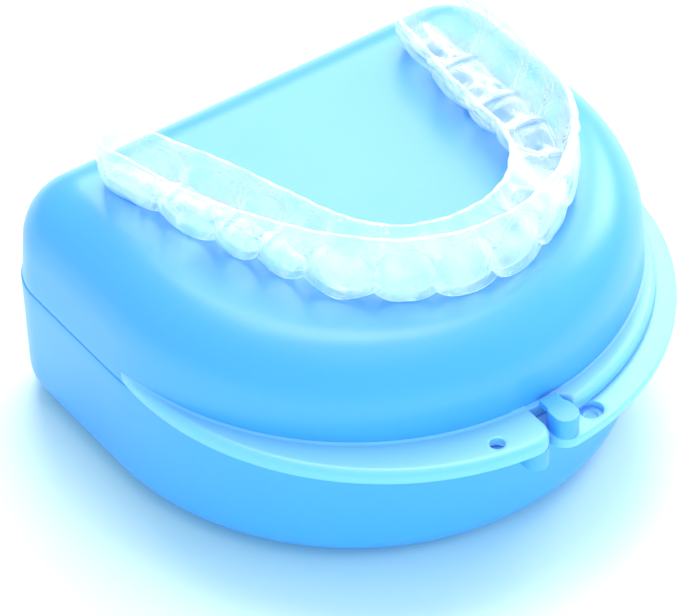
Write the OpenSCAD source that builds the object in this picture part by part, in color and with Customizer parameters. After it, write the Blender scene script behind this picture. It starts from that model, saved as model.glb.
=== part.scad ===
// Clear dental aligner and its D-shaped, hinged storage case.
// Millimetres, +Z up. The latch faces -Y, the hinge is at +Y. The origin is the
// middle of the closed case's footprint, on the surface that it stands on.

/* [Case] */
// Width over the side walls at the seam
case_w = 79; // [70:0.5:90]
// From the centre of the round front to the flat back of the lid
back_y = 28.3; // [24:0.1:32]
// Radius of the rear corners in plan
corner_r = 9.4; // [9.2:0.1:12]
// How much each side closes in towards the back, in degrees
side_taper = 1.1; // [0:0.1:3]
// Wall thickness
wall = 1.8; // [1.2:0.1:2.4]
// Gap between the two rims when closed
seam_gap = 0.15; // [0.1:0.05:0.3]

/* [Lid] */
// Height of the lid above the seam
lid_h = 15.3; // [13:0.1:18]
// Radius between the lid's wall and its flat top
lid_fillet = 9; // [6:0.1:9.2]
// Draft of the lid's wall, in degrees
lid_draft = 2; // [0.5:0.1:3]

/* [Base] */
// Height of the base below the seam
base_h = 20.4; // [18:0.1:24]
// Radius between the base's wall and its bottom
base_fillet = 5.7; // [3:0.1:7]
// Draft of the base's wall, in degrees
base_draft = 3; // [0.5:0.1:4]
// How far the base's rear rim stands out past the lid's
rear_step = 0.4; // [0:0.05:0.6]

/* [Front flanges] */
// Thickness of the flanges and ledges
flange_t = 2; // [1.6:0.1:2.4]
// Reach of the wide flange past the wall at the front
flange_reach = 7; // [6:0.1:8]
// Radius of the wide flange's outer edge
flange_r = 39.7; // [39.5:0.1:40.5]
// Reach of the narrow ledge, measured the same way
ledge_reach = 3.1; // [2.8:0.1:3.6]
// Radius of the narrow ledge's outer edge
ledge_r = 38.4; // [38:0.1:39]
// Thickness of the catch rib between the ledge and the flange
rib_t = 0.55; // [0.4:0.05:0.7]
// Radius of the rounding at the wide flange's front corner
flange_corner_r = 3; // [2:0.1:4]
// Diameter of the small hole through the wide flange
hole_d = 2.1; // [1.5:0.1:2.5]
// Diameter of the counterbore on the mating side of that hole
counterbore_d = 3.4; // [2.6:0.1:4]
// Sideways distance from the middle to that hole
hole_x = 7.75; // [6.5:0.05:10]

/* [Latch] */
// Sideways distance from the middle to a latch post
post_x = 2.45; // [2.2:0.05:3]
// Width of a latch post
post_w = 3.6; // [3:0.1:3.8]
// Length of a latch post, front to back
post_len = 4.7; // [4.2:0.1:5]
// How far a post stands past the seam
post_h = 3.2; // [3:0.1:3.6]

/* [Hinge] */
// Sideways distance from the middle to a hinge station
hinge_x = 17; // [12:0.5:22]
// From the lid's back face to the hinge axis
hinge_reach = 3; // [2.9:0.05:3.4]
// Diameter of the hinge pins
pin_d = 2.2; // [1.8:0.1:2.4]
// Running clearance round a pin, on the radius
pin_clearance = 0.06; // [0.03:0.01:0.09]
// Outer diameter of a clip
clip_d = 4.4; // [4:0.1:4.6]
// Width of a clip
clip_w = 7; // [5:0.5:10]
// Thickness of each ear that holds a pin
ear_t = 1.6; // [1.2:0.1:2]

/* [Aligner] */
// Thickness of the thermoformed sheet
sheet_t = 0.8; // [0.7:0.05:1]
// Radius of the arch's centre line round the front teeth
arch_r = 19.7; // [18:0.1:22]
// How far each straight arm opens outwards, in degrees
arm_splay = 13; // [10:0.5:15]
// Distance from the arch's own middle to the midline between the front teeth
midline_shift = -3; // [-4:0.5:0]
// Turn of the aligner as it lies on the lid, in degrees
aligner_turn = 7; // [0:0.5:10]
// Sideways place of the aligner on the lid
aligner_x = 2.8; // [0:0.1:4]
// Place of the aligner on the lid, towards the latch
aligner_y = -5.5; // [-7:0.1:-3]
// Height of the aligner above the lid's top, where it lies
aligner_rest = 0.15; // [0.1:0.05:0.3]

/* [Hidden] */
$fn = 48;

case_blue = [0.42, 0.78, 0.97];
clear_plastic = [0.9, 0.95, 0.98, 0.45];
e = 0.01;
big = 200;
wall_r = case_w / 2;
flange_cy = wall_r + flange_reach - flange_r;
ledge_cy = wall_r + ledge_reach - ledge_r;
post_front_inset = 0.4;
post_front = wall_r + flange_reach - post_front_inset;
flange_end_x = 0.3;
// Centre of the rounding at the wide flange's front corner, and the flange's front
flange_corner_x = -flange_end_x - flange_corner_r;
flange_corner_y = -flange_cy - sqrt(pow(flange_r - flange_corner_r, 2) - pow(flange_corner_x, 2));
flange_front = flange_corner_r - flange_corner_y;
ledge_end_x = 5.4;
// Distance from the wall's arc to the middle of the hollow beside the latch post
hollow_out = 2.4;
// The flange and the ledge pass into the wall before these distances from the middle
flange_cut_y = 2;
ledge_cut_y = 12;
shoulder_r = 1.1;
hole_out = 3.4;
hole_y = wall_r + hole_out;
counterbore_h = 1.1;
nose_gap = 0.2;
nose_h = 1;
nose_side_inset = 0.4;
axis_y = back_y + hinge_reach;
hinge_side_gap = 0.25;
heel_angle = 9;
heel_r = 3.45;
heel_t = 1.2;
clip_mouth = 1.7;
clip_mouth_angle = 50;
// How much smaller an ear's rounding is than a clip, and how far its tall part reaches
ear_inset = 0.3;
ear_tall_share = 0.55;
// How far the hinge parts run into the wall
root = 1;
// The footprint runs from the wide flange to the back of the hinge, so this
// moves its middle to the origin
hinge_back = axis_y + heel_r * cos(heel_angle) + heel_t / 2 * sin(heel_angle);
plan_y = (flange_front - hinge_back) / 2;

// ---- case bodies ----------------------------------------------------------

// Half section of a rounded, drafted disc: flat rim at z = 0, closed end at z = h
function disc_profile(r, h, fillet, draft, steps) =
    let (cz = h - fillet, arc_z = cz + fillet * sin(draft),
         cr = r - arc_z * tan(draft) - fillet * cos(draft))
    concat([[0, 0], [r, 0]],
           [for (i = [0 : steps]) let (a = draft + (90 - draft) * i / steps)
               [max(cr, 0) + fillet * cos(a), cz + fillet * sin(a)]],
           [[0, h]]);

// One D-shaped body: a large disc at the front and a small one at each rear corner
module d_body(r, yb, rc, h, fillet, draft) {
    n1 = [cos(side_taper), sin(side_taper)];
    cy = yb - rc;
    cx = (r - rc - n1[1] * cy) / n1[0];
    hull() {
        rotate([0, 0, 180 - side_taper])
            rotate_extrude(angle = 180 + 2 * side_taper, $fn = 120)
                polygon(disc_profile(r, h, fillet, draft, 7));
        for (s = [-1, 1])
            translate([s * cx, cy, 0])
                rotate_extrude($fn = 40) polygon(disc_profile(rc, h, min(fillet, rc), draft, 7));
    }
}

// A D-shaped cup, open at z = 0 and closed at z = h
module cup(yb, h, fillet, draft) {
    difference() {
        d_body(wall_r, yb, corner_r, h, fillet, draft);
        translate([0, 0, -e])
            d_body(wall_r - wall, yb - wall, corner_r - wall, h - wall + e,
                   max(fillet - wall, 1), draft);
    }
}

// ---- front flange, ledge and latch, drawn for the lid: z = 0 is the seam ----

// Keeps what lies to one side of x = x0
module left_of(x0) { translate([x0 - big, -big / 2, -big / 2]) cube([big, big, big]); }
module right_of(x0) { translate([x0, -big / 2, -big / 2]) cube([big, big, big]); }

// Plate with a shoulder rounded towards +z
module shouldered_disc(r, t) {
    rotate_extrude($fn = 160)
        polygon(concat([[0, 0], [r, 0], [r, t - shoulder_r]],
                       [for (i = [1 : 5]) let (a = 18 * i)
                           [r - shoulder_r + shoulder_r * cos(a), t - shoulder_r + shoulder_r * sin(a)]],
                       [[0, t]]));
}

module wide_flange() {
    difference() {
        intersection() {
            translate([0, -flange_cy, 0]) shouldered_disc(flange_r, flange_t);
            left_of(-flange_end_x);
            translate([-big / 2, -big, -e]) cube([big, big - flange_cut_y, big]);
            // rounded front corner
            union() {
                left_of(flange_corner_x);
                translate([-big / 2, flange_corner_y, -big / 2]) cube([big, big, big]);
                translate([flange_corner_x, flange_corner_y, -e])
                    cylinder(r = flange_corner_r, h = flange_t + 2 * e);
            }
        }
        translate([0, 0, -e]) cylinder(r = wall_r, h = flange_t + 2 * e, $fn = 160);
        translate([-hole_x, -hole_y, -e]) cylinder(d = hole_d, h = flange_t + 2 * e);
        translate([-hole_x, -hole_y, -e]) cylinder(d = counterbore_d, h = counterbore_h + e);
    }
}

module narrow_ledge() {
    difference() {
        union() {
            // the ledge proper, on the +X side, ending in a hollow beside the post
            intersection() {
                translate([0, -ledge_cy, 0]) shouldered_disc(ledge_r, flange_t);
                difference() {
                    right_of(ledge_end_x - 1);
                    translate([post_x, -wall_r - hollow_out, -e])
                        cylinder(r = ledge_end_x - post_x, h = flange_t + 2 * e);
                }
                translate([-big / 2, -big, -e]) cube([big, big - ledge_cut_y, big]);
            }
            // the catch rib that joins it to the wide flange
            intersection() {
                cylinder(r = wall_r + rib_t, h = flange_t, $fn = 160);
                right_of(-flange_end_x);
                left_of(ledge_end_x + 1);
                translate([-big / 2, -big, -e]) cube([big, big, big]);
            }
        }
        translate([0, 0, -e]) cylinder(r = wall_r, h = flange_t + 2 * e, $fn = 160);
    }
}

// Post on the -X side, reaching past the seam to z = -post_h, with a nose at its
// tip that stands just clear of the other half's catch rib
module latch_post() {
    half = post_w / 2;
    back = -post_front + post_len;
    nose_tip = -wall_r - rib_t - nose_gap;
    translate([-post_x, 0, -post_h]) {
        translate([0, -post_front + half, 0]) cylinder(r = half, h = post_h);
        translate([-half, -post_front + half, 0]) cube([post_w, post_len - post_w, post_h]);
        translate([0, back - half, 0]) cylinder(r = half, h = post_h);
        translate([-half + nose_side_inset, back - half, 0])
            cube([post_w - 2 * nose_side_inset, nose_tip - back + half, nose_h]);
    }
}

// ---- hinge, drawn for the lid: z = 0 is the seam ----------------------------

module along_x(w) { translate([-w / 2, 0, 0]) rotate([0, 90, 0]) linear_extrude(w) children(); }

// Slab that stands for everything inside the drafted back wall
module inside_wall(yb, draft) {
    translate([-big / 2, yb, 0]) rotate([draft, 0, 0]) translate([0, -big, -big / 2])
        cube([big, big, big]);
}

// Two ears and the pin between them, on the -X side of a half
module hinge_pin(yb, draft) {
    reach = axis_y - yb;
    gap = clip_w + 2 * hinge_side_gap;
    ear_r = clip_d / 2 - ear_inset;
    translate([-hinge_x, 0, 0]) {
        translate([-gap / 2 - e, axis_y, 0]) rotate([0, 90, 0]) cylinder(d = pin_d, h = gap + 2 * e);
        for (s = [-1, 1]) translate([s * (gap + ear_t) / 2 - ear_t / 2, 0, 0]) difference() {
            union() {
                translate([0, axis_y, 0]) rotate([0, 90, 0]) cylinder(r = ear_r, h = ear_t);
                translate([0, yb - root, seam_gap]) cube([ear_t, reach + root, ear_r - seam_gap]);
                translate([0, yb - root, seam_gap])
                    cube([ear_t, root + reach * ear_tall_share, clip_d - seam_gap]);
            }
            inside_wall(yb, draft);
        }
    }
}

// Open clip on the +X side of a half, with a heel that stops the lid when it is open
module hinge_clip(yb, draft) {
    reach = axis_y - yb;
    translate([hinge_x - clip_w / 2, 0, 0]) difference() {
        union() {
            translate([0, axis_y, 0]) rotate([0, 90, 0]) cylinder(d = clip_d, h = clip_w);
            translate([0, yb - root, seam_gap]) cube([clip_w, reach + root, clip_d / 2 - seam_gap]);
            translate([0, axis_y, 0]) rotate([-heel_angle, 0, 0])
                translate([0, 0, -heel_t / 2]) cube([clip_w, heel_r, heel_t]);
        }
        translate([-1, axis_y, 0]) rotate([0, 90, 0])
            cylinder(r = pin_d / 2 + pin_clearance, h = clip_w + 2);
        translate([-1, axis_y, 0]) rotate([clip_mouth_angle, 0, 0]) translate([0, 0, -clip_mouth / 2])
            cube([clip_w + 2, clip_d, clip_mouth]);
        inside_wall(yb, draft);
    }
}

// ---- placing the two halves ---------------------------------------------------

module lid_place() { translate([0, plan_y, base_h + seam_gap]) children(); }
module base_place() { translate([0, plan_y, base_h]) rotate([0, 180, 0]) children(); }
module hinge_lid_place() { translate([0, plan_y, base_h]) children(); }

module lid_shell() { color(case_blue) lid_place() cup(back_y, lid_h - seam_gap, lid_fillet, lid_draft); }
module lid_front_flange() { color(case_blue) lid_place() wide_flange(); }
module lid_side_ledge() { color(case_blue) lid_place() narrow_ledge(); }
module lid_latch_post() { color(case_blue) lid_place() latch_post(); }
module lid_hinge_pin() { color(case_blue) hinge_lid_place() hinge_pin(back_y, lid_draft); }
module lid_hinge_clip() { color(case_blue) hinge_lid_place() hinge_clip(back_y, lid_draft); }

base_back_y = back_y + rear_step;
module base_shell() { color(case_blue) base_place() cup(base_back_y, base_h, base_fillet, base_draft); }
module base_front_flange() { color(case_blue) base_place() wide_flange(); }
module base_side_ledge() { color(case_blue) base_place() narrow_ledge(); }
module base_latch_post() { color(case_blue) base_place() latch_post(); }
module base_hinge_pin() { color(case_blue) base_place() hinge_pin(base_back_y, base_draft); }
module base_hinge_clip() { color(case_blue) base_place() hinge_clip(base_back_y, base_draft); }

// ---- aligner -------------------------------------------------------------------

// From the midline to the last molar: tooth widths, then the distances from the
// centre line to the cheek wall and to the tongue wall at their trimmed edges
tooth_w = [7.2, 6.8, 8, 7.2, 6.8, 9.6, 11];
cheek_n = [3.9, 3.9, 4.3, 5.2, 5.8, 6, 4.7];
tongue_n = [4.1, 4.1, 4.3, 4.8, 5.3, 5.6, 5.3];
// Middle and half width of the biting edge; the front teeth bite near their front
edge_mid = [3.4, 2.9, 3.5, 1.2, 0.9, 0.2, -0.4];
edge_half = [0.9, 0.9, 1.1, 2.9, 3.3, 3.8, 2.9];
// Heights of the two trimmed edges, and their common height where an arm ends
cheek_h = [10.4, 10.3, 10.5, 9.8, 9.3, 9.1, 9];
tongue_h = [6.6, 6.4, 6.6, 6.2, 6, 6, 5.8];
end_h = 7.6;
// Rise of the biting edge between teeth, and how pointed each tooth is
tooth_rise = [1.3, 1.4, 2, 1.9, 1.6, 1.3, 1.2];
tooth_point = [3, 2.6, 1.6, 1.8, 2, 2.6, 2.6];
// How fast the tongue wall leaves the biting edge; 1 is a straight slope
tongue_curve = [1.25, 1.25, 1.5, 2.4, 2.8, 3, 3];
cheek_curve = 2.4;
cheek_belly = 0.45;
// How much narrower the trough is between teeth, at the biting edge; the trimmed
// edges run smoothly past the teeth
waist = 0.12;
least_edge = 0.1;
teeth = len(tooth_w);

function sum_to(v, n, i = 0) = i >= n ? 0 : v[i] + sum_to(v, n, i + 1);
tooth_end = [for (i = [0 : teeth]) sum_to(tooth_w, i)];
tooth_mid = [for (i = [0 : teeth - 1]) tooth_end[i] + tooth_w[i] / 2];
arm_length = tooth_end[teeth];
arc_length = arch_r * (90 - arm_splay) * PI / 180;
end_round = 3.4;

function tooth_at(s, i = 0) = (i == teeth - 1 || s < tooth_end[i + 1]) ? i : tooth_at(s, i + 1);
// Place within a tooth, from -1 to 1
function along_tooth(s) = let (i = tooth_at(s)) max(-1, min(1, 2 * (s - tooth_mid[i]) / tooth_w[i]));
// A value given per tooth, joined up smoothly along the arm
function blend(v, s) = lookup(s, [for (i = [0 : teeth - 1]) [tooth_mid[i], v[i]]]);

// Centre line and outward direction at a signed distance from the arch's middle
function arch_point(s) =
    let (a = abs(s), g = s < 0 ? -1 : 1, t = min(a, arc_length) / arch_r * 180 / PI,
         d = max(0, a - arc_length))
    [g * (arch_r * sin(t) + d * sin(arm_splay)), -arch_r * cos(t) + d * cos(arm_splay)];
function arch_out(s) =
    let (a = abs(s), g = s < 0 ? -1 : 1, t = min(a, arc_length) / arch_r * 180 / PI)
    [g * sin(t), -cos(t)];

// Share of the full thickness at distance a from the midline: 1, then down to 0 round
// an arm's end; the inset moves the surface inwards
function end_cap(a, inset) =
    let (r = end_round - inset, u = (a - (arm_length - inset - r)) / r)
    u <= 0 ? 1 : sqrt(max(0, 1 - u * u));
function edge_rise(a) =
    blend(tooth_rise, a) * pow(abs(along_tooth(a)), tooth_point[tooth_at(a)]);

// One cross-section: cheek-side trim line, down, across the biting edge and up
side_steps = [1, 0.82, 0.62, 0.44, 0.28, 0.15, 0.05, 0];
steps = len(side_steps);
// How far the middle of a narrow edge stands below its sides
mid_dip = 0.08;
// Depth of the hollow in the biting surface, as a share of its half width
hollow_share = 0.12;
function side_points(s, inset, side) =
    let (a = abs(s), cap = end_cap(a, inset), cheek = side > 0,
         edge = blend(edge_mid, a) + side * max(least_edge, blend(edge_half, a) - inset),
         narrow = waist * pow(abs(along_tooth(a)), 3),
         wall_n = side * (blend(cheek ? cheek_n : tongue_n, a) - inset),
         curve = cheek ? cheek_curve : blend(tongue_curve, a),
         belly = cheek ? cheek_belly : 0,
         top = end_h + (blend(cheek ? cheek_h : tongue_h, a) - end_h) * sqrt(cap),
         low = edge_rise(a) + inset + mid_dip)
    [for (f = side_steps)
        [(edge + (wall_n - edge) * (1 - pow(1 - f, curve)) + belly * sin(180 * f)
          - wall_n * narrow * min(1, 2 * f) * (1 - f)) * cap,
         low + (top - low) * f]];
function section(s, inset) =
    let (a = side_points(s, inset, 1), b = side_points(s, inset, -1), cap = end_cap(abs(s), inset),
         hollow = hollow_share * blend(edge_half, abs(s)) * cap,
         low = a[steps - 1][1] + hollow - mid_dip)
    concat(a, [[blend(edge_mid, abs(s)) * cap, low]], [for (i = [steps - 1 : -1 : 0]) b[i]]);
ring = 2 * steps + 1;

// Stations along the arch: even along the teeth, closer where the ends round off
per_tooth = 6;
station_half = concat(
    [for (i = [0 : teeth - 1]) for (k = [0 : per_tooth - 1])
        let (s = tooth_end[i] + tooth_w[i] * k / per_tooth) if (s < arm_length - end_round) s],
    [for (k = [0 : 6]) arm_length - end_round + end_round * sin(15 * k)]);
half_n = len(station_half);
stations = concat([for (i = [half_n - 1 : -1 : 1]) -station_half[i]], station_half);
last = len(stations) - 1;

function surface_points(inset) =
    [for (s = stations)
        let (q = s * (arm_length - inset) / arm_length,
             p = arch_point(q + midline_shift), o = arch_out(q + midline_shift))
        for (w = section(q, inset)) [p[0] + o[0] * w[0], p[1] + o[1] * w[0], w[1]]];
// At both ends the two sides of a section meet, so they share their points
function at(i, j) = i * ring + ((i == 0 || i == last) ? min(j, ring - 1 - j) : j);

module aligner_solid() {
    outer = surface_points(0);
    inner = surface_points(sheet_t);
    n = len(outer);
    polyhedron(
        points = concat(outer, inner),
        faces = concat(
            [for (i = [0 : last - 1]) for (j = [0 : ring - 2]) for (t = [0, 1])
                t == 0 ? [at(i, j), at(i + 1, j), at(i + 1, j + 1)]
                       : [at(i, j), at(i + 1, j + 1), at(i, j + 1)]],
            [for (i = [0 : last - 1]) for (j = [0 : ring - 2]) for (t = [0, 1])
                t == 0 ? [n + at(i, j), n + at(i + 1, j + 1), n + at(i + 1, j)]
                       : [n + at(i, j), n + at(i, j + 1), n + at(i + 1, j + 1)]],
            [for (i = [0 : last - 1]) for (t = [0, 1])
                t == 0 ? [at(i, 0), n + at(i, 0), n + at(i + 1, 0)]
                       : [at(i, 0), n + at(i + 1, 0), at(i + 1, 0)]],
            [for (i = [0 : last - 1]) for (t = [0, 1])
                t == 0 ? [at(i, ring - 1), at(i + 1, ring - 1), n + at(i + 1, ring - 1)]
                       : [at(i, ring - 1), n + at(i + 1, ring - 1), n + at(i, ring - 1)]]),
        convexity = 12);
}

module aligner_shell() {
    color(clear_plastic)
        translate([aligner_x, plan_y + aligner_y, base_h + lid_h + aligner_rest])
            rotate([0, 0, aligner_turn]) aligner_solid();
}

base_shell();
base_front_flange();
base_side_ledge();
base_latch_post();
base_hinge_pin();
base_hinge_clip();
lid_shell();
lid_front_flange();
lid_side_ledge();
lid_latch_post();
lid_hinge_pin();
lid_hinge_clip();
aligner_shell();
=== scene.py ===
"""Looks of the clear dental aligner and its hinged case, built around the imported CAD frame."""
import math

import bmesh
import bpy
import numpy as np
from mathutils import Matrix, Vector


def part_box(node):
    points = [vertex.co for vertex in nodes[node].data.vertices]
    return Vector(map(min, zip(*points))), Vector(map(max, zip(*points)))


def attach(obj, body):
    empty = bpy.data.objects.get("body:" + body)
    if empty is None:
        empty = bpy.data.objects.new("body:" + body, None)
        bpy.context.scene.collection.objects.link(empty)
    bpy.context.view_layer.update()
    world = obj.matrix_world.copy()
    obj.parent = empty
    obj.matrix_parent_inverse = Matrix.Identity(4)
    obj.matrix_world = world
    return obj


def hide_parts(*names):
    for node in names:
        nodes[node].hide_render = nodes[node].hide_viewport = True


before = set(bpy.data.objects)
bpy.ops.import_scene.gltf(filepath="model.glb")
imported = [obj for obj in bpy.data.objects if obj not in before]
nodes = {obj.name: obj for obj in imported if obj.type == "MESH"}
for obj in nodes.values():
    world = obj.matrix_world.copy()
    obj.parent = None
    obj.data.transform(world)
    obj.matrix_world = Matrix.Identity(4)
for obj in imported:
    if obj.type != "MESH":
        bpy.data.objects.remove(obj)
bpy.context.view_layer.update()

# ---- sizes, in millimetres, as in the design ---------------------------------
MM = 0.001
WALL_R, BACK_Y, CORNER_R, TAPER = 39.5, 28.3, 9.4, math.radians(1.1)
WALL, SEAM_GAP, REAR_STEP = 1.8, 0.15, 0.4
LID_H, LID_FILLET, LID_DRAFT = 15.3, 9.0, math.radians(2.0)
BASE_H, BASE_FILLET, BASE_DRAFT = 20.4, 5.7, math.radians(3.0)
FLANGE_T, FLANGE_R, FLANGE_CY = 2.0, 39.7, 6.8
FLANGE_END, FLANGE_CORNER = 0.3, 3.0
LEDGE_R, LEDGE_CY = 38.4, 4.2
RIB_R = WALL_R + 0.55
POST_X, HOLLOW_R, HOLLOW_Y = 2.45, 2.95, 41.9
HOLE = (-7.75, -42.9)  # middle of the flange hole, on the lid's side
HOLE_R, BORE_R, BORE_H = 1.05, 1.7, 1.1
SHEET = 0.8
ALIGNER_REST = 0.15
# looks only: roundings of the rims and of the small moulded features
LID_RIM_ROUND, BASE_RIM_ROUND, INNER_RIM_ROUND = 0.14, 0.4, 0.3
POST_ROUND, PIN_ROUND, CLIP_ROUND = 0.42, 0.22, 0.2
# angles above which an edge stays sharp in the shading
SHARP, SMALL_SHARP, ALIGNER_SHARP = math.radians(32), math.radians(28), math.radians(80)

# The wall's arc has its centre on the seam, at this place in the frame
PLAN_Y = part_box("lid_shell")[1].y / MM - BACK_Y
SEAM_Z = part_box("base_shell")[1].z / MM
LID_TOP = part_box("lid_shell")[1].z / MM
CENTRE = Vector((0, PLAN_Y, SEAM_Z)) * MM

# ---- camera --------------------------------------------------------------------
AZ, EL = math.radians(35.965), math.radians(41.05)
FAR, ASIDE, ABOVE = 982.6, 1.75, 6.47
ahead = Vector((math.sin(AZ) * math.cos(EL), math.cos(AZ) * math.cos(EL), -math.sin(EL)))
right = Vector((math.cos(AZ), -math.sin(AZ), 0))
up = right.cross(ahead)
camera = bpy.data.objects.new("camera", bpy.data.cameras.new("camera"))
bpy.context.scene.collection.objects.link(camera)
camera.location = CENTRE - (right * ASIDE + up * ABOVE + ahead * FAR) * MM
camera.rotation_euler = Matrix((right, up, -ahead)).transposed().to_euler()
camera.data.sensor_width = 36
camera.data.lens = 385.3
camera.data.clip_start, camera.data.clip_end = 0.05, 20
bpy.context.scene.camera = camera


# ---- mesh helpers ----------------------------------------------------------------
def to_row(p):
    return (p[0] * MM, (p[1] + PLAN_Y) * MM, (p[2] + SEAM_Z) * MM)


def new_object(name, points, faces, body, replaced, material, place=to_row):
    """A smooth-shaded piece from points in millimetres round the wall arc's centre."""
    mesh = bpy.data.meshes.new(name)
    mesh.from_pydata([place(p) for p in points], [], faces)
    bm = bmesh.new()
    bm.from_mesh(mesh)
    bmesh.ops.remove_doubles(bm, verts=bm.verts, dist=2e-7)
    bmesh.ops.dissolve_degenerate(bm, edges=bm.edges, dist=1e-7)
    bmesh.ops.recalc_face_normals(bm, faces=bm.faces)
    bm.to_mesh(mesh)
    bm.free()
    piece = bpy.data.objects.new(name, mesh)
    bpy.context.scene.collection.objects.link(piece)
    finish_piece(piece, body, replaced, material)
    return piece


def finish_piece(piece, body, replaced, material, sharp=SHARP):
    mesh = piece.data
    mesh.materials.clear()
    mesh.materials.append(material)
    mesh.shade_smooth()
    mesh.set_sharp_from_angle(angle=sharp)
    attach(piece, body)
    if replaced:
        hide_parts(*replaced)


def grid_faces(rows, columns, start=0, closed=False):
    faces = []
    for i in range(rows - 1):
        for j in range(columns if closed else columns - 1):
            k = (j + 1) % columns
            a, b = start + i * columns, start + (i + 1) * columns
            faces.append((a + j, a + k, b + k, b + j))
    return faces


def arc(centre, radius, a0, a1, n):
    return [(centre[0] + radius * math.cos(a0 + (a1 - a0) * i / n),
             centre[1] + radius * math.sin(a0 + (a1 - a0) * i / n)) for i in range(n + 1)]


def apply_modifiers(piece):
    graph = bpy.context.evaluated_depsgraph_get()
    mesh = bpy.data.meshes.new_from_object(piece.evaluated_get(graph))
    piece.modifiers.clear()
    old = piece.data
    piece.data = mesh
    bpy.data.meshes.remove(old)


# ---- materials -------------------------------------------------------------------
def nodes_of(material):
    material.use_nodes = True
    tree = material.node_tree
    return tree, tree.nodes["Principled BSDF"]


def noise(tree, scale, detail=3.0, rough=0.5, distortion=0.0):
    coords = tree.nodes.get("Coords") or tree.nodes.new("ShaderNodeTexCoord")
    coords.name = "Coords"
    n = tree.nodes.new("ShaderNodeTexNoise")
    n.inputs["Scale"].default_value = scale
    n.inputs["Detail"].default_value = detail
    n.inputs["Roughness"].default_value = rough
    n.inputs["Distortion"].default_value = distortion
    tree.links.new(coords.outputs["Object"], n.inputs["Vector"])
    return n.outputs["Fac"]


def mapped(tree, value, low, high, from_low=0.3, from_high=0.7):
    m = tree.nodes.new("ShaderNodeMapRange")
    m.inputs["From Min"].default_value = from_low
    m.inputs["From Max"].default_value = from_high
    m.inputs["To Min"].default_value = low
    m.inputs["To Max"].default_value = high
    tree.links.new(value, m.inputs["Value"])
    return m.outputs["Result"]


def ramp(tree, value, stops):
    r = tree.nodes.new("ShaderNodeValToRGB")
    while len(r.color_ramp.elements) < len(stops):
        r.color_ramp.elements.new(0.5)
    for element, (place, colour) in zip(r.color_ramp.elements, stops):
        element.position = place
        element.color = (*colour, 1)
    tree.links.new(value, r.inputs["Fac"])
    return r.outputs["Color"]


def added(tree, a, b):
    total = tree.nodes.new("ShaderNodeMath")
    total.operation, total.use_clamp = "ADD", True
    tree.links.new(a, total.inputs[0])
    tree.links.new(b, total.inputs[1])
    return total.outputs["Value"]


def bump(tree, shader, *layers):
    """Bump from (height socket, depth in metres) layers."""
    last = None
    for height, depth in layers:
        b = tree.nodes.new("ShaderNodeBump")
        b.inputs["Strength"].default_value = 1.0
        b.inputs["Distance"].default_value = depth
        tree.links.new(height, b.inputs["Height"])
        if last is not None:
            tree.links.new(last, b.inputs["Normal"])
        last = b.outputs["Normal"]
    tree.links.new(last, shader.inputs["Normal"])


def case_material(name, deep, light):
    m = bpy.data.materials.new(name)
    tree, shader = nodes_of(m)
    # slow drift of pigment in the moulded plastic
    tree.links.new(ramp(tree, noise(tree, 22, 1, 0.4, 0.4), [(0.15, deep), (0.85, light)]),
                   shader.inputs["Base Color"])
    # handling haze changes the gloss, over a very fine moulded grain
    tree.links.new(mapped(tree, noise(tree, 60, 2, 0.5), 0.285, 0.35, 0.1, 0.9), shader.inputs["Roughness"])
    bump(tree, shader, (noise(tree, 2600, 2, 0.5), 0.0000012))
    shader.inputs["IOR"].default_value = 1.5
    shader.inputs["Subsurface Weight"].default_value = 0.25
    shader.inputs["Subsurface Radius"].default_value = (0.2, 0.6, 1.0)
    shader.inputs["Subsurface Scale"].default_value = 0.003
    return m


def aligner_material():
    m = bpy.data.materials.new("clear_sheet")
    tree, shader = nodes_of(m)
    # thin clear sheet: seen through from the front, white where it turns away
    view = tree.nodes.new("ShaderNodeLayerWeight")
    view.inputs["Blend"].default_value = 0.5
    edge = mapped(tree, view.outputs["Facing"], 0.0, 0.78, 0.35, 1.0)
    haze = mapped(tree, noise(tree, 190, 3, 0.5), 0.1, 0.42, 0.38, 0.66)
    # painted highlight: ribs, cusps, creases and trimmed edges are drawn whiter and less clear where the
    # surface bends sharply, standing in for the light they catch
    shape = tree.nodes.new("ShaderNodeNewGeometry")
    ridge = added(tree, mapped(tree, shape.outputs["Pointiness"], 0.0, 0.5, 0.52, 0.6),
                  mapped(tree, shape.outputs["Pointiness"], 0.5, 0.0, 0.4, 0.48))
    tree.links.new(added(tree, added(tree, edge, haze), ridge), shader.inputs["Alpha"])
    shader.inputs["Base Color"].default_value = (0.97, 0.96, 0.98, 1)
    shader.inputs["IOR"].default_value = 1.9
    shader.inputs["Specular IOR Level"].default_value = 0.9
    tree.links.new(mapped(tree, noise(tree, 240, 4, 0.6), 0.06, 0.2), shader.inputs["Roughness"])
    bump(tree, shader, (noise(tree, 330, 3, 0.5), 0.0002), (noise(tree, 1500, 2, 0.5), 0.00001))
    return m


CASE = case_material("moulded_blue", (0.09, 0.36, 0.84), (0.105, 0.38, 0.88))
# the thin rims are drawn paler: a painted lighter tone that stands in for the light they catch and let
# through
PAINTED_LIGHT_RIM = case_material("thin_rim_painted_light_blue", (0.24, 0.52, 0.92), (0.27, 0.54, 0.95))
CLEAR = aligner_material()


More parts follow.
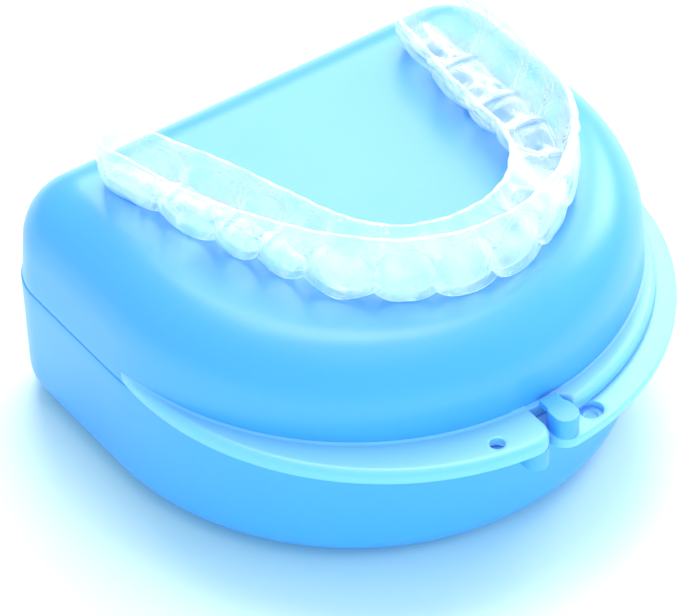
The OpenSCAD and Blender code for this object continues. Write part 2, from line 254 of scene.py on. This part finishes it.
# ---- case shells -------------------------------------------------------------------
def plan_ring(inset, back_y):
    """The D-shaped outline, moved inwards by inset, always with the same number of points."""
    n = (math.cos(TAPER), math.sin(TAPER))
    cy = back_y - CORNER_R
    cx = (WALL_R - CORNER_R - n[1] * cy) / n[0]
    big, small = WALL_R - inset, max(CORNER_R - inset, 0.02)

    def line(a, b, k):
        return [(a[0] + (b[0] - a[0]) * i / k, a[1] + (b[1] - a[1]) * i / k) for i in range(1, k)]

    front = arc((0, 0), big, TAPER, -math.pi - TAPER, 168)
    rear_left = arc((-cx, cy), small, math.pi - TAPER, math.pi / 2, 20)
    rear_right = arc((cx, cy), small, math.pi / 2, TAPER, 20)
    return (front + line(front[-1], rear_left[0], 14) + rear_left
            + line(rear_left[-1], rear_right[0], 34) + rear_right
            + line(rear_right[-1], front[0], 14))


def wall_profile(h, fillet, draft, inset, steps=14):
    """(inset, z) up a drafted wall and round its fillet, from z = 0 to the flat at z = h."""
    cz = h - fillet
    arc_z = cz + fillet * math.sin(draft)
    side = [(inset + arc_z * k / 6 * math.tan(draft), arc_z * k / 6) for k in range(6)]
    corner = inset + arc_z * math.tan(draft) + fillet * math.cos(draft)
    bend = [(corner - fillet * math.cos(a), cz + fillet * math.sin(a))
            for a in (draft + (math.pi / 2 - draft) * k / steps for k in range(steps + 1))]
    return side + bend


def cup(back_y, h, fillet, draft, outer_round, inner_round=INNER_RIM_ROUND):
    """Points and faces of an open cup with rounded rims, z = 0 at its rim."""
    outer = wall_profile(h, fillet, draft, 0)
    inner = wall_profile(h - WALL, max(fillet - WALL, 1), draft, WALL)
    quarter = [math.pi / 2 * k / 4 for k in range(5)]
    rim_out = [(outer_round * (1 - math.cos(a)), outer_round * (1 - math.sin(a))) for a in quarter]
    rim_in = [(WALL - inner_round * (1 - math.sin(a)), inner_round * (1 - math.cos(a))) for a in quarter]
    profile = outer[:0:-1] + rim_out + rim_in + inner[1:]
    rings = [[(x, y, z) for x, y in plan_ring(d, back_y)] for d, z in profile]
    columns = len(rings[0])

    def cap(ring):
        """Rings that shrink the flat of the closed end to its middle."""
        middle = (0.0, -5.0)
        return [[(middle[0] + (x - middle[0]) * s, middle[1] + (y - middle[1]) * s, z) for x, y, z in ring]
                for s in (0.85, 0.65, 0.4, 0.15)], (*middle, ring[0][2])

    top, top_mid = cap(rings[0])
    under, under_mid = cap(rings[-1])
    rings = top[::-1] + rings + under
    points = [p for r in rings for p in r]
    faces = grid_faces(len(rings), columns, closed=True)
    for ring_start, mid in ((0, top_mid), ((len(rings) - 1) * columns, under_mid)):
        points.append(mid)
        centre = len(points) - 1
        faces += [(ring_start + j, ring_start + (j + 1) % columns, centre) for j in range(columns)]
    return points, faces


def lifted(points, dz):
    return [(x, y, z + dz) for x, y, z in points]


def turned(points):
    """From the lid's side of the seam to the base's: half a turn about Y."""
    return [(-x, y, -z) for x, y, z in points]


points, faces = cup(BACK_Y, LID_H - SEAM_GAP, LID_FILLET, LID_DRAFT, LID_RIM_ROUND)
new_object("lid_cover", lifted(points, SEAM_GAP), faces, "lid", ["lid_shell"], CASE)
points, faces = cup(BACK_Y + REAR_STEP, BASE_H, BASE_FILLET, BASE_DRAFT, BASE_RIM_ROUND)
new_object("base_tray", turned(points), faces, "base", ["base_shell"], CASE)


# ---- flanges and ledges ----------------------------------------------------------------
def nearest(points, line, radii):
    """Distance from each point to a polyline, and the edge radius at the nearest place."""
    p = np.array(points, float)[:, None, :]
    a, b = np.array(line[:-1], float)[None], np.array(line[1:], float)[None]
    ab = b - a
    t = np.clip(((p - a) * ab).sum(2) / np.maximum((ab * ab).sum(2), 1e-12), 0, 1)
    d = np.linalg.norm(p - (a + ab * t[..., None]), axis=2)
    k = d.argmin(1)
    rows = np.arange(len(k))
    r = np.array(radii, float)
    return d[rows, k], r[k] + (r[k + 1] - r[k]) * t[rows, k]


def plate(outer, inner, radii, thickness, foot=0.45, under_round=0.22):
    """A rim plate: outer edge and wall side as matching points, edges rounded by radii."""
    shoulder = [0, 0.03, 0.1, 0.2, 0.34, 0.5, 0.7, 0.92, 1.15]
    columns = []
    for o, i in zip(outer, inner):
        length = math.dist(o, i)
        hidden = max(min(length - 0.05, 0.9), 0.02)
        reach = length - hidden
        near = [min(d, reach * 0.5 * d / 1.15) if reach < 2.3 else d for d in shoulder]
        to_wall = [max(reach - f, near[-1] + 0.001 * k) for k, f in
                   enumerate((foot * 1.6, foot, foot * 0.7, foot * 0.42, foot * 0.2, 0.0))]
        to_wall.sort()
        middle = [near[-1] + (to_wall[0] - near[-1]) * k / 5 for k in range(1, 5)]
        along = near + middle + to_wall + [reach + hidden * 0.5, length]
        columns.append([(o[0] + (i[0] - o[0]) * d / length, o[1] + (i[1] - o[1]) * d / length)
                        for d in along])
    flat = [p for c in columns for p in c]
    d, r = nearest(flat, outer, radii)
    r = np.maximum(r, 1e-3)
    fall = np.where(d < r, r - np.sqrt(np.maximum(r * r - (r - np.minimum(d, r)) ** 2, 0)), 0)
    z = thickness - fall
    out = np.hypot(*np.array(flat).T) - (WALL_R - z * math.tan(LID_DRAFT))
    into = np.clip(foot - out, 0, foot)
    z = z + foot - np.sqrt(foot * foot - into * into)
    n = len(columns[0])
    points = [(x, y, h) for (x, y), h in zip(flat, z)]
    faces = grid_faces(len(columns), n)

    # the edge face, its lower rounding and the flat mating side
    def inwards(k, amount):
        o, i = outer[k], inner[k]
        a, b = outer[max(k - 1, 0)], outer[min(k + 1, len(outer) - 1)]
        t = (b[0] - a[0], b[1] - a[1])
        length = math.hypot(*t) or 1
        normal = (-t[1] / length, t[0] / length)
        if normal[0] * (i[0] - o[0]) + normal[1] * (i[1] - o[1]) < 0:
            normal = (-normal[0], -normal[1])
        return (o[0] + normal[0] * amount, o[1] + normal[1] * amount)

    start = len(points)
    rows = 7
    for k, (o, i) in enumerate(zip(outer, inner)):
        points.append((*o, (points[k * n][2] + under_round) / 2))
        for a in (0, 30, 60, 90):
            s = math.radians(a)
            points.append((*inwards(k, under_round * (1 - math.cos(s))), under_round * (1 - math.sin(s))))
        o2 = inwards(k, under_round)
        points.append(((o2[0] + i[0]) / 2, (o2[1] + i[1]) / 2, 0.0))
        points.append((*i, 0.0))
    faces += grid_faces(len(outer), rows, start)
    for k in range(len(outer) - 1):
        faces.append((k * n, (k + 1) * n, start + (k + 1) * rows, start + k * rows))
        a, b = k * n + n - 1, (k + 1) * n + n - 1
        faces.append((a, b, start + (k + 1) * rows + rows - 1, start + k * rows + rows - 1))
    for k in (0, len(outer) - 1):
        faces.append([k * n + j for j in range(n)] + [start + k * rows + j for j in range(rows - 1, -1, -1)])
    return points, faces


def inside(p, radius=WALL_R - 0.9):
    s = radius / math.hypot(*p)
    return (p[0] * s, p[1] * s)


def vanish(cy, radius, stop=WALL_R - 0.45):
    """Angle on a circle round (0, -cy) at which it passes into the wall."""
    y = (radius * radius - cy * cy - stop * stop) / (2 * cy)
    return math.atan2(y + cy, math.sqrt(max(stop * stop - y * y, 0)))


def wide_flange():
    corner_x = -FLANGE_END - FLANGE_CORNER
    corner_y = -FLANGE_CY - math.sqrt((FLANGE_R - FLANGE_CORNER) ** 2 - corner_x ** 2)
    a_end = math.pi - vanish(FLANGE_CY, FLANGE_R)
    a_corner = math.atan2(corner_y + FLANGE_CY, corner_x)
    bend_steps, end_steps = 16, 10
    edge_round, end_round = 1.1, 0.5
    edge = arc((0, -FLANGE_CY), FLANGE_R, a_end - 2 * math.pi if a_end > 0 else a_end, a_corner, 110)
    bend = arc((corner_x, corner_y), FLANGE_CORNER, a_corner, 0, bend_steps)[1:]
    last_y = -WALL_R + 0.8
    end = [(-FLANGE_END, corner_y + (last_y - corner_y) * k / end_steps) for k in range(1, end_steps + 1)]
    pivot = inside(edge[-1])
    outer = edge + bend + end
    inner = [inside(p) for p in edge] + [pivot] * (len(bend) + len(end))
    radii = ([edge_round] * len(edge)
             + [edge_round + (end_round - edge_round) * (k + 1) / bend_steps for k in range(bend_steps)]
             + [end_round] * end_steps)
    return plate(outer, inner, radii, FLANGE_T)


def narrow_ledge():
    start = [(RIB_R * math.sin(a), -RIB_R * math.cos(a)) for a in
             (math.asin((-FLANGE_END - 0.35 + 5.0 * k / 14) / RIB_R) for k in range(13))]
    hollow = []
    near_y, far_y = 39.9, 42.14
    for k in range(13):
        y = -near_y - (far_y - near_y) * k / 12
        hollow.append((POST_X + math.sqrt(HOLLOW_R ** 2 - (y + HOLLOW_Y) ** 2), y))
    start = [p for p in start if p[0] < hollow[0][0] - 0.15]
    tip = hollow[-1]
    a0 = math.atan2(tip[1] + LEDGE_CY, tip[0])
    a1 = vanish(LEDGE_CY, LEDGE_R)
    edge = arc((0, -LEDGE_CY), LEDGE_R, a0, a1, 90)[1:]
    outer = start + hollow + edge
    first = inside(start[-1])
    end = inside(edge[6])
    a_first, a_end = math.atan2(first[1], first[0]), math.atan2(end[1], end[0])
    fan = len(hollow) + 6
    radius = WALL_R - 0.9
    inner = ([inside(p) for p in start]
             + [(radius * math.cos(a), radius * math.sin(a)) for a in
                (a_first + (a_end - a_first) * (k + 1) / (fan + 1) for k in range(fan))]
             + [inside(p) for p in edge[6:]])
    radii = ([0.2] * len(start) + [0.2 + 0.65 * min(1, k / 5) for k in range(len(hollow))]
             + [0.85 + 0.25 * min(1, k / 8) for k in range(len(edge))])
    return plate(outer, inner, radii, FLANGE_T, foot=0.3)


def drill(piece, x, y, z_low, z_high, back):
    """Cuts the flange's hole, with its counterbore on the mating side and softened edges."""
    profile = [(0, z_low - 2), (BORE_R + 0.2, z_low - 2), (BORE_R + 0.2, z_low - 0.01),
               (BORE_R + 0.06, z_low + 0.05), (BORE_R, z_low + 0.2), (BORE_R, z_low + BORE_H),
               (HOLE_R, z_low + BORE_H),
               (HOLE_R, z_high - 0.22), (HOLE_R + 0.06, z_high - 0.08), (HOLE_R + 0.22, z_high + 0.01),
               (HOLE_R + 0.22, z_high + 1.5), (0, z_high + 1.5)]
    n = 48
    points = [(x + r * math.cos(2 * math.pi * k / n), y + r * math.sin(2 * math.pi * k / n), z)
              for r, z in profile[1:-1] for k in range(n)]
    rings = len(profile) - 2
    faces = grid_faces(rings, n, closed=True)
    faces.append(list(range(n)))
    faces.append([(rings - 1) * n + k for k in range(n)][::-1])
    if back:
        points = turned(points)
    mesh = bpy.data.meshes.new("drill")
    mesh.from_pydata([to_row(p) for p in points], [], faces)
    bm = bmesh.new()
    bm.from_mesh(mesh)
    bmesh.ops.recalc_face_normals(bm, faces=bm.faces)
    bm.to_mesh(mesh)
    bm.free()
    cutter = bpy.data.objects.new("drill", mesh)
    bpy.context.scene.collection.objects.link(cutter)
    cut = piece.modifiers.new("drill", "BOOLEAN")
    cut.operation, cut.solver, cut.object = "DIFFERENCE", "EXACT", cutter
    apply_modifiers(piece)
    bpy.data.objects.remove(cutter)
    piece.data.shade_smooth()
    piece.data.set_sharp_from_angle(angle=SHARP)


# flanges and ledges take the rim material with its painted lighter tone
for body, lift, change in (("lid", SEAM_GAP, False), ("base", 0.0, True)):
    points, faces = wide_flange()
    points = lifted(points, lift)
    piece = new_object(body + "_flange", turned(points) if change else points, faces, body,
                       [body + "_front_flange"], PAINTED_LIGHT_RIM)
    drill(piece, *HOLE, lift, lift + FLANGE_T, change)
    points, faces = narrow_ledge()
    points = lifted(points, lift)
    new_object(body + "_ledge", turned(points) if change else points, faces, body,
               [body + "_side_ledge"], PAINTED_LIGHT_RIM)


# ---- small moulded features, softened at their edges -----------------------------------
def softened(node, name, width, body, segments):
    """A copy of a CAD node with its facets joined and its edges rounded."""
    mesh = nodes[node].data.copy()
    mesh.name = name
    bm = bmesh.new()
    bm.from_mesh(mesh)
    bmesh.ops.remove_doubles(bm, verts=bm.verts, dist=1e-6)
    bmesh.ops.dissolve_limit(bm, angle_limit=math.radians(0.8), verts=bm.verts, edges=bm.edges)
    bmesh.ops.recalc_face_normals(bm, faces=bm.faces)
    bm.to_mesh(mesh)
    bm.free()
    piece = bpy.data.objects.new(name, mesh)
    bpy.context.scene.collection.objects.link(piece)
    bevel = piece.modifiers.new("edge", "BEVEL")
    bevel.width, bevel.segments, bevel.limit_method = width * MM, segments, "ANGLE"
    bevel.angle_limit, bevel.use_clamp_overlap, bevel.harden_normals = math.radians(35), True, False
    apply_modifiers(piece)
    finish_piece(piece, body, [node], CASE, SMALL_SHARP)


for body in ("lid", "base"):
    softened(body + "_latch_post", body + "_post", POST_ROUND, body, 5)
    softened(body + "_hinge_pin", body + "_pin_lug", PIN_ROUND, body, 3)
    softened(body + "_hinge_clip", body + "_snap_clip", CLIP_ROUND, body, 3)


# ---- aligner ------------------------------------------------------------------------------
# one value per tooth, from the midline to the last molar, as in the design
TOOTH_W = [7.2, 6.8, 8.0, 7.2, 6.8, 9.6, 11.0]
CHEEK_N, TONGUE_N = [3.9, 3.9, 4.3, 5.2, 5.8, 6.0, 4.7], [4.1, 4.1, 4.3, 4.8, 5.3, 5.6, 5.3]
EDGE_MID, EDGE_HALF = [3.4, 2.9, 3.5, 1.2, 0.9, 0.2, -0.4], [0.9, 0.9, 1.1, 2.9, 3.3, 3.8, 2.9]
CHEEK_H, TONGUE_H = [10.4, 10.3, 10.5, 9.8, 9.3, 9.1, 9.0], [6.6, 6.4, 6.6, 6.2, 6.0, 6.0, 5.8]
RISE, POINT = [1.3, 1.4, 2.0, 1.9, 1.6, 1.3, 1.2], [3, 2.6, 1.6, 1.8, 2, 2.6, 2.6]
TONGUE_CURVE, CHEEK_CURVE = [1.25, 1.25, 1.5, 2.4, 2.8, 3.0, 3.0], 2.4
END_H, END_ROUND = 7.6, 3.4
LEAST_EDGE, WAIST, CHEEK_BELLY = 0.1, 0.12, 0.45
ARCH_R, SPLAY, TURN, MIDLINE = 19.7, math.radians(13), math.radians(7), -3.0
ALIGNER_AT = (2.8, -5.5, LID_TOP - SEAM_Z + ALIGNER_REST)
# looks only: height of the gum line over each tooth and its dip between teeth, depth of
# the grooves between teeth, and depth of the hollow in each biting surface
GUM = [9.2, 8.8, 9.3, 8.2, 7.4, 7.2, 6.8]
GUM_DIP = [3.6, 3.3, 3.8, 3.0, 2.6, 2.3, 2.1]
GUM_IN = [5.2, 5.0, 5.3, 4.5, 4.1, 5.0, 4.8]
GROOVE = [0.75, 0.8, 0.95, 1.05, 1.1, 1.25, 1.2]
FOSSA = [0, 0, 0, 1.4, 1.5, 1.7, 1.7]
# step out above the gum line, crease along it, fullness of a tooth's middle, unevenness
GUM_STEP, GUM_CREASE, TOOTH_BELLY, UNEVEN = 0.3, 0.26, 0.22, 0.09
CUSPS = {3: [(0, -0.8), (0, 0.75)], 4: [(0, -0.75), (0, 0.75)],
         5: [(-0.45, -0.78), (0.42, -0.78), (-0.4, 0.78), (0.45, 0.7)],
         6: [(-0.42, -0.78), (0.45, -0.75), (-0.35, 0.78), (0.5, 0.6)]}
ENDS = np.concatenate([[0], np.cumsum(TOOTH_W)])
MIDS = (ENDS[1:] + ENDS[:-1]) / 2
ARM = float(ENDS[-1])
ARC_LENGTH = ARCH_R * (math.pi / 2 - SPLAY)


def blend(values, a):
    return float(np.interp(a, MIDS, values))


def smooth(x):
    x = min(max(x, 0.0), 1.0)
    return x * x * (3 - 2 * x)


def tooth_of(a):
    i = min(int(np.searchsorted(ENDS, a, side="right")) - 1, 6)
    return i, max(-1.0, min(1.0, 2 * (a - MIDS[i]) / TOOTH_W[i]))


def arch_frame(s):
    a, g = abs(s), (-1 if s < 0 else 1)
    t = min(a, ARC_LENGTH) / ARCH_R
    d = max(0.0, a - ARC_LENGTH)
    return ((g * (ARCH_R * math.sin(t) + d * math.sin(SPLAY)), -ARCH_R * math.cos(t) + d * math.cos(SPLAY)),
            (g * math.sin(t), -math.cos(t)))


def end_cap(a, inset):
    r = END_ROUND - inset
    u = (a - (ARM - inset - r)) / r
    return 1.0 if u <= 0 else math.sqrt(max(0.0, 1 - u * u))


def edge_rise(a):
    i, u = tooth_of(a)
    return blend(RISE, a) * abs(u) ** POINT[i]


def wobble(s, z, seed):
    """Small smooth unevenness, so that no two pockets are alike."""
    return (math.sin(0.83 * s + 1.7 * seed) * math.cos(0.61 * z + 2.1 * seed)
            + 0.5 * math.sin(1.9 * s - 0.9 * z + seed))


def plain_side(a, f, inset, side):
    """The design's wall: sideways distance, before the ends close in, at share f of its height."""
    _, u = tooth_of(a)
    edge = blend(EDGE_MID, a) + side * max(LEAST_EDGE, blend(EDGE_HALF, a) - inset)
    wall = side * (blend(CHEEK_N if side > 0 else TONGUE_N, a) - inset)
    curve = CHEEK_CURVE if side > 0 else blend(TONGUE_CURVE, a)
    waist = WAIST * abs(u) ** 3 * min(1, 2 * f) * (1 - f)
    return (edge + (wall - edge) * (1 - (1 - f) ** curve) - wall * waist
            + (CHEEK_BELLY * math.sin(math.pi * f) if side > 0 else 0))


def side_shape(s, f, inset, side):
    """Sideways distance and height of a wall with its tooth pockets, at share f of its height."""
    a = abs(s)
    i, u = tooth_of(a)
    cap = end_cap(a, inset)
    top = END_H + (blend(CHEEK_H if side > 0 else TONGUE_H, a) - END_H) * math.sqrt(cap)
    low = edge_rise(a) + inset
    z = low + (top - low) * f
    n = plain_side(a, f, inset, side)
    room = abs(n - plain_side(a, f, inset, -side))
    gum = (blend(GUM, a) - GUM_DIP[i] * abs(u) ** 2.6) if side > 0 else (
        blend(GUM_IN, a) - 0.55 * GUM_DIP[i] * abs(u) ** 2.4)
    above = smooth((z - gum + 0.25) / 0.6)
    gap = (1 - abs(u)) * TOOTH_W[i] / 2
    groove = blend(GROOVE, a) * math.exp(-(gap / (0.8 + 0.25 * inset)) ** 2) * (1 - 0.55 * above)
    groove = min(groove * (smooth(f / 0.12) * 0.75 + 0.25), 0.4 * room) * (1 - 0.9 * smooth((f - 0.7) / 0.3))
    crease = GUM_CREASE * math.exp(-((z - gum) / 0.36) ** 2)
    step = (GUM_STEP * above - crease) * (1 - 0.8 * smooth((f - 0.8) / 0.2))
    belly = TOOTH_BELLY * math.cos(u * math.pi / 2) * math.exp(-((z - 0.55 * gum) / 2.2) ** 2)
    uneven = UNEVEN * wobble(s, z, 1.0 if side > 0 else 2.3)
    return (n + side * (step + belly + uneven - groove) * min(1, f * 8)) * cap, z


def table_shape(s, v, inset):
    """Height of the biting surface at v, from -1 at the cheek to 1 at the tongue."""
    a = abs(s)
    i, u = tooth_of(a)
    cap = end_cap(a, inset)
    base = edge_rise(a) + inset
    if i in CUSPS:
        cusp = max(math.exp(-((u - cu) / 0.36) ** 2 - ((v - cv) / 0.52) ** 2) for cu, cv in CUSPS[i])
        ridge = 0.55 * math.exp(-((abs(u) - 0.86) / 0.17) ** 2)
        deep = FOSSA[i] * (1 - max(cusp, ridge)) * (1 - abs(v) ** 4)
        return base + (deep + 0.12 * wobble(s, 3 * v, 4.1) * (1 - v * v)) * cap * (0.75 if inset else 1.0)
    return base + 0.1 * (1 - v * v) * cap


CHEEK_F = [1, 0.97, 0.94, 0.91, 0.88, 0.85, 0.82, 0.79, 0.76, 0.73, 0.7, 0.67, 0.63, 0.59, 0.55, 0.5,
           0.45, 0.39, 0.33, 0.27, 0.21, 0.15, 0.1, 0.05, 0.02]
TABLE_V = [-1 + k / 8 for k in range(17)]


def section(s, inset):
    a = abs(s)
    mid, half = blend(EDGE_MID, a), max(LEAST_EDGE, blend(EDGE_HALF, a) - inset)
    cheek = [side_shape(s, f, inset, 1) for f in CHEEK_F]
    table = [((mid - v * half) * end_cap(a, inset), table_shape(s, v, inset)) for v in TABLE_V]
    tongue = [side_shape(s, f, inset, -1) for f in CHEEK_F[::-1]]
    return cheek + table + tongue


def stations():
    """Places along the arch: closer together towards the borders of teeth and at the ends."""
    half = []
    per_tooth, at_end, crowd = 24, 18, 0.55
    for i, w in enumerate(TOOTH_W):
        for k in range(per_tooth):
            t = -1 + 2 * k / per_tooth
            u = crowd * math.sin(t * math.pi / 2) + (1 - crowd) * t
            s = MIDS[i] + u * w / 2
            if s < ARM - END_ROUND:
                half.append(s)
    half += [ARM - END_ROUND + END_ROUND * math.sin(math.pi / 2 * k / at_end) for k in range(at_end + 1)]
    return [-s for s in half[:0:-1]] + half


def aligner_points():
    line = stations()
    cos, sin = math.cos(TURN), math.sin(TURN)
    surfaces = []
    for inset in (0.0, SHEET):
        surface = []
        for s in line:
            q = s * (ARM - inset) / ARM
            (px, py), (ox, oy) = arch_frame(q + MIDLINE)
            for n, z in section(q, inset):
                x, y = px + ox * n, py + oy * n
                surface.append((x * cos - y * sin + ALIGNER_AT[0], x * sin + y * cos + ALIGNER_AT[1],
                                z + ALIGNER_AT[2]))
        surfaces.append(np.array(surface).reshape(len(line), -1, 3))
    return surfaces


def aligner():
    outer, inner = aligner_points()
    rows, columns, _ = outer.shape
    # at both ends the two walls meet, so each pair of points becomes one
    for surface in (outer, inner):
        for r in (0, rows - 1):
            surface[r] = (surface[r] + surface[r, ::-1]) / 2
    points = [tuple(p) for p in outer.reshape(-1, 3)] + [tuple(p) for p in inner.reshape(-1, 3)]
    n = rows * columns
    faces = grid_faces(rows, columns) + [f[::-1] for f in grid_faces(rows, columns, n)]
    # rounded trim edges
    for column in (0, columns - 1):
        a, b = outer[:, column], inner[:, column]
        rings = [list(range(column, n, columns))]
        for share, rise in ((0.2, 0.16), (0.5, 0.24), (0.8, 0.16)):
            mid = a + (b - a) * share
            mid[:, 2] += rise * np.minimum(1, np.linalg.norm(a - b, axis=1) / SHEET)
            rings.append(list(range(len(points), len(points) + rows)))
            points += [tuple(p) for p in mid]
        rings.append(list(range(n + column, 2 * n, columns)))
        for one, two in zip(rings, rings[1:]):
            faces += [(one[k], one[k + 1], two[k + 1], two[k]) for k in range(rows - 1)]
    piece = new_object("clear_aligner", points, faces, "aligner", ["aligner_shell"], CLEAR)
    piece.data.set_sharp_from_angle(angle=ALIGNER_SHARP)


aligner()


# ---- stage ----------------------------------------------------------------------------------
def plain(name, colour, rough):
    m = bpy.data.materials.new(name)
    tree, shader = nodes_of(m)
    shader.inputs["Base Color"].default_value = (*colour, 1)
    shader.inputs["Roughness"].default_value = rough
    shader.inputs["Specular IOR Level"].default_value = 0.1
    return m


bpy.ops.mesh.primitive_plane_add(size=6, location=(0, 0, 0))
floor = bpy.context.object
floor.name = "floor"
floor.data.materials.append(plain("white_table", (0.9, 0.9, 0.92), 0.8))


AIM = Vector((0, 0, 0.02))


def area_light(name, place, size, power, colour=(1, 1, 1), glossy=True):
    light = bpy.data.lights.new(name, "AREA")
    light.shape, light.size, light.size_y = "RECTANGLE", *size
    light.energy, light.color = power, colour
    o = bpy.data.objects.new(name, light)
    bpy.context.scene.collection.objects.link(o)
    o.location = place
    o.rotation_euler = (AIM - Vector(place)).to_track_quat("-Z", "Y").to_euler()
    o.visible_glossy = glossy


area_light("overhead", (0.0, -0.1, 0.9), (0.8, 0.8), 1.9)
area_light("key", (0.18, 0.24, 0.86), (0.48, 0.48), 4.3)
area_light("right", (0.8, 0.2, 0.5), (0.4, 0.4), 3.9)
area_light("behind", (0.45, 0.62, 0.66), (0.52, 0.52), 4.4)
# tinted fills that show no reflection of their own
area_light("low_fill", (-0.55, -0.85, 0.2), (0.9, 0.3), 6, (0.2, 0.9, 1.0), False)
area_light("right_front", (0.7, -0.6, 0.45), (0.5, 0.4), 1.6, (0.6, 0.95, 1.0), False)

world = bpy.data.worlds.new("studio")
bpy.context.scene.world = world
world.use_nodes = True
world.node_tree.nodes["Background"].inputs["Color"].default_value = (0.62, 0.98, 1.0, 1)
world.node_tree.nodes["Background"].inputs["Strength"].default_value = 0.7
bpy.context.scene.view_settings.view_transform = "Standard"
